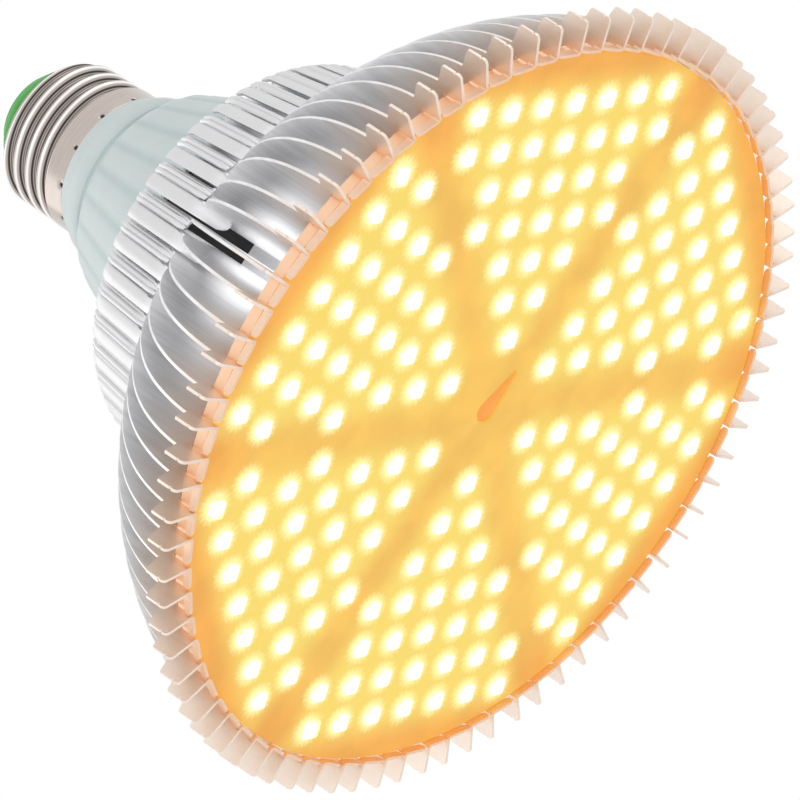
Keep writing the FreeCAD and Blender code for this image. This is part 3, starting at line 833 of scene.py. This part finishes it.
class LAMP_OT_fins(bpy.types.Operator):
    """Build the two rings of stamped and folded fins"""
    bl_idname = "lamp.fins"
    bl_label = "Build Fins"

    def execute(self, context):
        sizes = context.scene.lamp_fins
        sheet, fold = sizes.sheet / MM, sizes.fold / MM
        chance = random.Random(7)
        finish = fin_aluminium(sizes)
        pitch = 360.0 / PAIRS
        panelled, ribbed = Blank(), Blank()
        # For each ring: its first turn, its fins' share of the pitch, how far the rear edge
        # stands in, the rear strip, the gap beside that, and where it starts
        kinds = (
            (panelled, -RIB_TO_PANEL, pitch - RIB_TO_PANEL, 0.85, rear_panel, 0.3, 34.4),
            (ribbed, 0.0, RIB_TO_PANEL, 1.2, rear_ribs, 0.25, 42.0),
        )
        for i in range(PAIRS):
            for ring, first, share, inset, strip, gap, start in kinds:
                arc = math.radians(share)
                lean = math.degrees(sizes.spread) * chance.uniform(-1, 1)
                turn = Matrix.Rotation(math.radians(first + pitch * i + lean), 4, "Z")
                fin = blade(inset, sheet)
                fin.join(head_tab(FACE_RADIUS * arc - sheet / 2 - 0.25, sheet, fold))
                front = start + chance.uniform(-0.25, 0.25)
                fin.join(strip(REAR_RADIUS * arc - sheet / 2 - gap, sheet, fold, front))
                ring.join(fin, turn)
        panelled.piece("panelled_fin_ring", finish, "fin_aluminium", ("panelled_fins",))
        ribbed.piece("ribbed_fin_ring", finish, "fin_aluminium", ("ribbed_fins",))
        return {"FINISHED"}


# Light board
def hole_rays():
    """Distances from the wire hole's middle to its edge, a round drawn out to a slot."""
    rays = []
    for i in range(BOARD_STEPS):
        heading = math.radians(360.0 * i / BOARD_STEPS - SLOT_TURN)
        ray = HOLE_REACH
        for k in range(0, 360, 2):
            side = math.radians(k)
            facing = math.cos(side - heading)
            if facing > 0.05:
                edge = max(HOLE_RADIUS, (HOLE_REACH - HOLE_TIP) * math.cos(side) + HOLE_TIP)
                ray = min(ray, (edge - HOLE_MIDDLE * math.cos(side)) / facing)
        rays.append(ray)
    return rays


def hole_row(rays, share, height):
    """A row of points round the wire hole, drawn in or out about its middle."""
    middle = around(HOLE_MIDDLE, SLOT_TURN, 0.0)
    row = []
    for i, ray in enumerate(rays):
        x, y, z = around(ray * share, 360.0 * i / len(rays), height)
        row.append((middle[0] + x, middle[1] + y, z))
    return row


class LAMP_OT_light_board(bpy.types.Operator):
    """Build the round light board with its wire hole"""
    bl_idname = "lamp.light_board"
    bl_label = "Build Light Board"

    def execute(self, context):
        colours = context.scene.lamp_lights
        face, back, edge = BOARD_FACE, BOARD_BACK, BOARD_RADIUS
        middle, inner = edge * 0.6, 14.0
        rays = hole_rays()
        at_back = hole_row(rays, 1.0, back)
        board = Blank()
        board.grid([at_back, hole_row(rays, 1.0, face + 0.12), hole_row(rays, 1.04, face),
                    circle(inner, face, BOARD_STEPS), circle(middle, face, BOARD_STEPS)],
                   closed=True)
        board.turned([(middle, face), (edge - 0.25, face), (edge, face + 0.2),
                      (edge, back - 0.2), (edge - 0.2, back), (middle, back)], BOARD_STEPS)
        board.grid([circle(middle, back, BOARD_STEPS), circle(inner, back, BOARD_STEPS),
                    at_back], closed=True)
        board.piece("light_board_face", board_mask(colours), "board_mask", ("light_board",))
        self.sealant(colours, rays)
        return {"FINISHED"}

    def sealant(self, colours, rays):
        """Sealant that fills the wire hole to just under the board's face."""
        fill = Blank()
        fill.capped([hole_row(rays, share, height) for share, height in
                     ((0.99, 2.05), (0.99, 1.35), (0.85, 1.18), (0.5, 1.08), (0.1, 1.05))])
        fill.piece("wire_hole_sealant", hole_sealant(colours.sealant), "board_mask")


class LAMP_OT_light_sources(bpy.types.Operator):
    """Build the six wedges of light sources"""
    bl_idname = "lamp.light_sources"
    bl_label = "Build Light Sources"

    def execute(self, context):
        finish = light_phosphor(context.scene.lamp_lights)
        half, low = 1.5, LIGHT_FACE

        def square(size, corner, height):
            """Points round a square with rounded corners."""
            middle = (size - corner) * math.sqrt(2)
            points = []
            for quarter in range(4):
                heading = math.radians(45 + 90 * quarter)
                centre = (middle * math.cos(heading), middle * math.sin(heading))
                points += [(x, y, height) for x, y in rounded_corner(
                    centre, corner, 90 * quarter, 90 * quarter + 90, 3)]
            return points

        package = Blank()
        package.capped([square(half, 0.35, BOARD_FACE), square(half, 0.35, low + 0.14),
                        square(half - 0.12, 0.3, low + 0.02),
                        square(half - 0.3, 0.25, low + 0.02),
                        square(half - 0.42, 0.25, low + 0.14),
                        square(half - 0.9, 0.3, low + 0.04), square(0.25, 0.2, low)])
        upright = Matrix.Rotation(math.radians(BOARD_TURN), 4, "Z")
        for group in range(WEDGES):
            wedge = Blank()
            turn = Matrix.Rotation(math.radians(BOARD_TURN + 360 / WEDGES * group), 4, "Z")
            for row, sources in enumerate(LIGHT_ROWS):
                for column in range(sources):
                    across = (column - (sources - 1) / 2) * LIGHT_PITCH
                    if row == len(LIGHT_ROWS) - 1 and column == sources - 1:
                        across -= END_SHIFT
                    spot = turn @ Vector((FIRST_ROW + ROW_PITCH * row, across, 0))
                    wedge.join(package, Matrix.Translation(spot) @ upright)
            wedge.piece("light_wedge_%d" % (group + 1), finish, "light_phosphor",
                        ("light_group_%d" % (group + 1),))
        return {"FINISHED"}


def refinish(node, material):
    """Give a carried-over solid its material."""
    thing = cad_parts[node]
    thing.data.materials.clear()
    thing.data.materials.append(material)


class LAMP_OT_cup(bpy.types.Operator):
    """Finish the heat spreader and the driver cup"""
    bl_idname = "lamp.cup"
    bl_label = "Finish Spreader and Cup"

    def execute(self, context):
        refinish("heat_spreader", plate_aluminium())
        refinish("driver_cup", black_plastic(context.scene.lamp_neck.cup))
        return {"FINISHED"}


class LAMP_OT_neck(bpy.types.Operator):
    """Build the pale neck between the fins and the screw cap"""
    bl_idname = "lamp.neck"
    bl_label = "Build Neck"

    def execute(self, context):
        sizes = context.scene.lamp_neck
        lobe = sizes.lobe / MM
        steps = FLUTES * 12
        widest, foot, low, high = 26.15, 57.5, 57.9, 76.3
        spigot, spigot_end, bore = 11.5, 91.9, 10.2
        # Radius, height and share of the flutes' depth: up the outside, down the inside
        outside = [(24.6, foot, 0.0), (25.9, foot, 1.0), (widest, low, 1.0)]
        for i in range(1, 13):
            share = i / 12
            outside.append((widest - 6.85 * share, low + (high - low) * share,
                            1.0 - 0.35 * share))
        outside += [(18.85, 77.3, 0.5), (18.15, 78.2, 0.35), (17.2, 79.1, 0.2),
                    (16.2, 79.9, 0.1), (15.4, 80.4, 0.0), (14.95, 80.75, 0.0),
                    (14.85, 81.05, 0.0), (14.95, 81.35, 0.0)]
        ring = ((15.3, 81.5), (15.4, 81.9), (15.4, 82.8), (15.2, 83.8), (14.9, 84.7),
                (14.4, 85.5), (13.9, 86.4), (13.5, 87.2), (13.3, SHELL_START))
        outside += [(radius, height, 0.0) for radius, height in ring]
        outside += [(12.6, SHELL_START + 0.05, 0.0), (12.6, 91.2, 0.0), (spigot, 91.4, 0.0),
                    (spigot, spigot_end, 0.0), (bore, spigot_end, 0.0)]
        inside = [(bore, 88.0, 0.0), (13.2, 79.0, 0.0), (21.2, 61.0, 0.0), (21.6, 54.55, 0.0),
                  (23.2, 54.55, 0.0), (23.2, 57.4, 0.0), (24.6, foot, 0.0)]
        rows = []
        for radius, height, share in outside + inside:
            row = []
            for i in range(steps):
                turn = 360.0 * i / steps
                wave = math.sqrt(math.cos(math.radians(turn * FLUTES / 2)) ** 2 + 0.01)
                row.append(around(radius - lobe * share * (1 - min(wave, 1.0)), turn, height))
            rows.append(row)
        neck = Blank()
        neck.grid(rows, closed=True)
        neck.piece("neck_moulding", neck_plastic(sizes.plastic), "neck_plastic",
                   ("neck_housing",), crease=50.0)
        return {"FINISHED"}


class LAMP_OT_screw_base(bpy.types.Operator):
    """Build the threaded screw cap, its insulator and its centre contact"""
    bl_idname = "lamp.screw_base"
    bl_label = "Build Screw Base"

    def execute(self, context):
        sizes = context.scene.lamp_base
        self.shell(sizes)
        self.insulator(sizes.insulator)
        self.contact()
        return {"FINISHED"}

    def shell(self, sizes):
        """Rolled thread on a plain collar that is crimped to the neck."""
        pitch, depth = sizes.pitch / MM, sizes.depth / MM
        steps = 240
        count = 96
        step = 360.0 / CRIMP_COUNT
        heights = [SHELL_START + (SHELL_END - 0.5 - SHELL_START) * i / count
                   for i in range(count + 1)]
        outer, inner = [], []
        for height in heights:
            outer_row, inner_row = [], []
            for i in range(steps):
                turn = 360.0 * i / steps
                crest = THREAD_CREST + pitch * ((turn - THREAD_TURN) / 360.0)
                wave = 0.5 - 0.5 * math.cos(2 * math.pi * (height - crest) / pitch)
                last = smooth(height, SHELL_END - 1.6, SHELL_END - 0.4)
                cut = depth * wave ** 1.2 * smooth(height, COLLAR_TOP, COLLAR_TOP + 0.9)
                radius = SHELL_RADIUS - cut * (1 - last) - (SHELL_RADIUS - SHELL_RIM) * last
                beside = (turn - CRIMP_FIRST + step / 2) % step - step / 2
                away = math.hypot(math.radians(beside) * SHELL_RADIUS, height - CRIMP_HEIGHT)
                radius -= 0.35 * math.exp(-(away / 0.42) ** 2)
                if height == heights[0]:
                    radius -= 0.08  # rolled edge next to the neck
                outer_row.append(around(radius, turn, height))
                inner_row.append(around(radius - SHELL_WALL, turn, height))
            outer.append(outer_row)
            inner.append(inner_row)
        end_rows = [circle(SHELL_RIM - 0.3, SHELL_END - 0.05, steps),
                    circle(SHELL_MOUTH, SHELL_END, steps),
                    circle(SHELL_MOUTH, SHELL_END - SHELL_WALL, steps)]
        shell = Blank()
        shell.grid(outer + end_rows + list(reversed(inner)) + outer[:1], closed=True)
        shell.piece("threaded_shell", base_nickel(sizes), "base_nickel", ("screw_shell",),
                    crease=60.0)

    def insulator(self, colour):
        """Dome from the shell's mouth to the ring that holds the contact."""
        flat = top_of("base_insulator")
        seat = foot_of("base_insulator")
        recess = flat - 0.35
        profile = [(0.0, seat), (11.0, seat), (11.05, SHELL_END - 0.3), (11.15, SHELL_END)]
        for i in range(1, 9):
            share = i / 8
            profile.append((11.1 - 3.1 * share ** 1.5,
                            SHELL_END + (flat - 0.5 - SHELL_END) * share))
        profile += [(7.8, flat - 0.15), (7.4, flat), (5.4, flat), (5.1, recess), (4.8, recess),
                    (0.0, recess)]
        dome = Blank()
        dome.turned(profile, 120)
        dome.piece("insulator_dome", insulator_green(colour), "insulator_green",
                   ("base_insulator",), crease=45.0)

    def contact(self):
        """Button with a rounded top, on a shank through the insulator."""
        high = top_of("centre_contact")
        low = top_of("base_insulator")
        profile = [(0.0, low - 6.0), (1.25, low - 6.0), (1.3, low - 0.3), (4.4, low - 0.3),
                   (4.6, low + 0.05), (4.6, low + 0.5), (4.4, low + 0.75)]
        for i in range(1, 9):
            angle = math.radians(90.0 * i / 8)
            profile.append((3.9 * math.cos(angle),
                            low + 0.8 + (high - low - 0.8) * math.sin(angle)))
        button = Blank()
        button.turned(profile, 72)
        button.piece("contact_button", contact_metal(), "contact_metal", ("centre_contact",),
                     crease=45.0)


class LAMP_OT_driver(bpy.types.Operator):
    """Finish the driver's circuit board, parts and leads"""
    bl_idname = "lamp.driver"
    bl_label = "Finish Driver"

    def execute(self, context):
        can = wrapped("capacitor_sleeve", (0.02, 0.02, 0.03), (0.35, 0.35, 0.36), 0.3)
        lead = wrapped("lead_sleeve", (0.42, 0.02, 0.02), (0.5, 0.06, 0.05), 0.45)
        refinish("driver_board", circuit_laminate())
        refinish("input_capacitor", can)
        refinish("output_capacitor", can)
        refinish("inductor", wrapped("choke_sleeve", (0.03, 0.03, 0.03), (0.09, 0.09, 0.09), 0.5))
        refinish("transformer", wrapped("transformer_tape", (0.55, 0.38, 0.05),
                                        (0.65, 0.5, 0.12), 0.4))
        refinish("bridge_rectifier", wrapped("chip_black", (0.01, 0.01, 0.011),
                                             (0.03, 0.03, 0.03), 0.5))
        foot, end = foot_of("live_lead"), top_of("live_lead")
        live = Blank()
        live.tube([(0.0, 0.0, foot), (0.0, 0.0, end)], LEAD_RADIUS)
        live.piece("live_wire", lead, "lead_sleeve", ("live_lead",))
        turn = top_of("neutral_lead") - LEAD_RADIUS
        bend = rounded_corner((9.4, turn - 1.4), 1.4, 180, 90, 6)
        neutral = Blank()
        neutral.tube([(8.0, 0.0, foot)] + [(x, 0.0, z) for x, z in bend] + [(11.4, 0.0, turn)],
                     LEAD_RADIUS - 0.05)
        neutral.piece("neutral_wire", lead, "lead_sleeve", ("neutral_lead",))
        outputs = Blank()
        for side in (-0.84, 0.84):
            outputs.tube([(side, 0.0, 1.6), (side, 0.0, top_of("output_leads"))], LEAD_RADIUS)
        outputs.piece("output_wires", lead, "lead_sleeve", ("output_leads",))
        return {"FINISHED"}


class LAMP_OT_stage(bpy.types.Operator):
    """Set the floor, the backdrop light, the lamps and the camera"""
    bl_idname = "lamp.stage"
    bl_label = "Set Stage"

    def execute(self, context):
        sizes = context.scene.lamp_stage
        self.backdrop(context, sizes)
        self.floor(context, sizes)
        self.lamps(context, sizes)
        self.camera(context)
        context.scene.view_settings.view_transform = "Standard"
        return {"FINISHED"}

    def backdrop(self, context, sizes):
        """Even light all round, seen as white by the camera and in gloss."""
        nodes = Nodes(bpy.data.worlds.new("even_light"), "ShaderNodeOutputWorld")
        seen = nodes.node("ShaderNodeLightPath", output="Is Camera Ray")
        white, even = [nodes.node("ShaderNodeBackground", None,
                                  {"Color": opaque(WHITE), "Strength": strength})
                       for strength in (1.0, sizes.daylight)]
        mixed = nodes.mix(even, white, seen.higher_of(nodes.reflected()))
        context.scene.world = nodes.surface(mixed)

    def floor(self, context, sizes):
        """Pale floor that is clear from below, so the lamp's face can be looked at."""
        finish = Finish("floor_paint")
        colour = finish.shades(sizes.floor, 0.97, finish.speckle(0.05))
        paint = finish.node("ShaderNodeBsdfDiffuse", None, {"Color": colour})
        glow = finish.node("ShaderNodeEmission", None, {"Color": opaque(WHITE), "Strength": 1.0})
        clear = finish.node("ShaderNodeBsdfTransparent")
        behind = finish.node("ShaderNodeNewGeometry", output="Backfacing")
        lit = finish.mix(paint, glow, finish.reflected())
        reach, height = 2.5, -0.1 * MM
        mesh = bpy.data.meshes.new("floor")
        mesh.from_pydata([(-reach, -reach, height), (reach, -reach, height),
                          (reach, reach, height), (-reach, reach, height)], [], [(0, 1, 2, 3)])
        mesh.materials.append(finish.surface(finish.mix(lit, clear, behind)))
        floor = bpy.data.objects.new("floor", mesh)
        context.scene.collection.objects.link(floor)
        floor.visible_shadow = False

    def lamps(self, context, sizes):
        """Soft lamps: a key from the camera's lower left, one from above, one at the side."""
        middle = Vector((0, 0, 0.05))
        plan = (
            ("key_lamp", (0.10, -1.02, -0.32), 1.2, sizes.key),
            ("top_lamp", (-0.6, -0.3, 1.0), 1.0, sizes.key * 0.4),
            ("side_lamp", (0.95, 0.25, 0.25), 0.8, sizes.key * 0.25),
        )
        for name, place, width, power in plan:
            data = bpy.data.lights.new(name, "AREA")
            data.shape = "DISK"
            data.size = width
            data.energy = power
            lamp = bpy.data.objects.new(name, data)
            lamp.location = place
            lamp.rotation_euler = (middle - Vector(place)).to_track_quat("-Z", "Y").to_euler()
            context.scene.collection.objects.link(lamp)

    def camera(self, context):
        """The view from below the lit face, rolled so that the screw cap points up left."""
        right = Vector((0.26399213, 0.68457947, -0.67945500))
        up = Vector((0.88651724, 0.10531366, 0.45055102))
        forward = Vector((-0.37999397, 0.72129050, 0.57908952))
        data = bpy.data.cameras.new("camera")
        data.sensor_width = 36.0
        data.lens = 298.179
        data.clip_start = 0.01
        data.clip_end = 50.0
        camera = bpy.data.objects.new("camera", data)
        rotation = Matrix((right, up, -forward)).transposed().to_4x4()
        camera.matrix_world = Matrix.Translation(
            Vector((0.391699, -0.756525, -0.589110))) @ rotation
        context.scene.collection.objects.link(camera)
        context.scene.camera = camera


class LAMP_PT_panel(bpy.types.Panel):
    """Sizes, colours and steps of the grow light"""
    bl_idname = "LAMP_PT_panel"
    bl_label = "Grow Light"
    bl_space_type = "VIEW_3D"
    bl_region_type = "UI"
    bl_category = "Grow Light"

    def draw(self, context):
        self.layout.use_property_split = True
        for name, group, steps in GROUPS:
            box = self.layout.box()
            for size in group.__annotations__:
                box.prop(getattr(context.scene, name), size)
            for step in steps:
                box.operator(step)


# Each group of sizes and colours, with the steps that go by it
GROUPS = (
    ("lamp_fins", FinSizes, ("lamp.fins",)),
    ("lamp_lights", LightColours, ("lamp.light_board", "lamp.light_sources")),
    ("lamp_neck", NeckSizes, ("lamp.cup", "lamp.neck")),
    ("lamp_base", BaseSizes, ("lamp.screw_base", "lamp.driver")),
    ("lamp_stage", StageSizes, ("lamp.stage",)),
)
CLASSES = (FinSizes, LightColours, NeckSizes, BaseSizes, StageSizes, LAMP_OT_fins,
           LAMP_OT_light_board, LAMP_OT_light_sources, LAMP_OT_cup, LAMP_OT_neck,
           LAMP_OT_screw_base, LAMP_OT_driver, LAMP_OT_stage, LAMP_PT_panel)


def register():
    for item in CLASSES:
        bpy.utils.register_class(item)
    for name, group, steps in GROUPS:
        setattr(bpy.types.Scene, name, bpy.props.PointerProperty(type=group))


def unregister():
    for name, group, steps in GROUPS:
        delattr(bpy.types.Scene, name)
    for item in reversed(CLASSES):
        bpy.utils.unregister_class(item)


def main():
    register()
    bpy.ops.lamp.fins()
    bpy.ops.lamp.light_board()
    bpy.ops.lamp.light_sources()
    bpy.ops.lamp.cup()
    bpy.ops.lamp.neck()
    bpy.ops.lamp.screw_base()
    bpy.ops.lamp.driver()
    bpy.ops.lamp.stage()


if __name__ == "__main__":
    main()
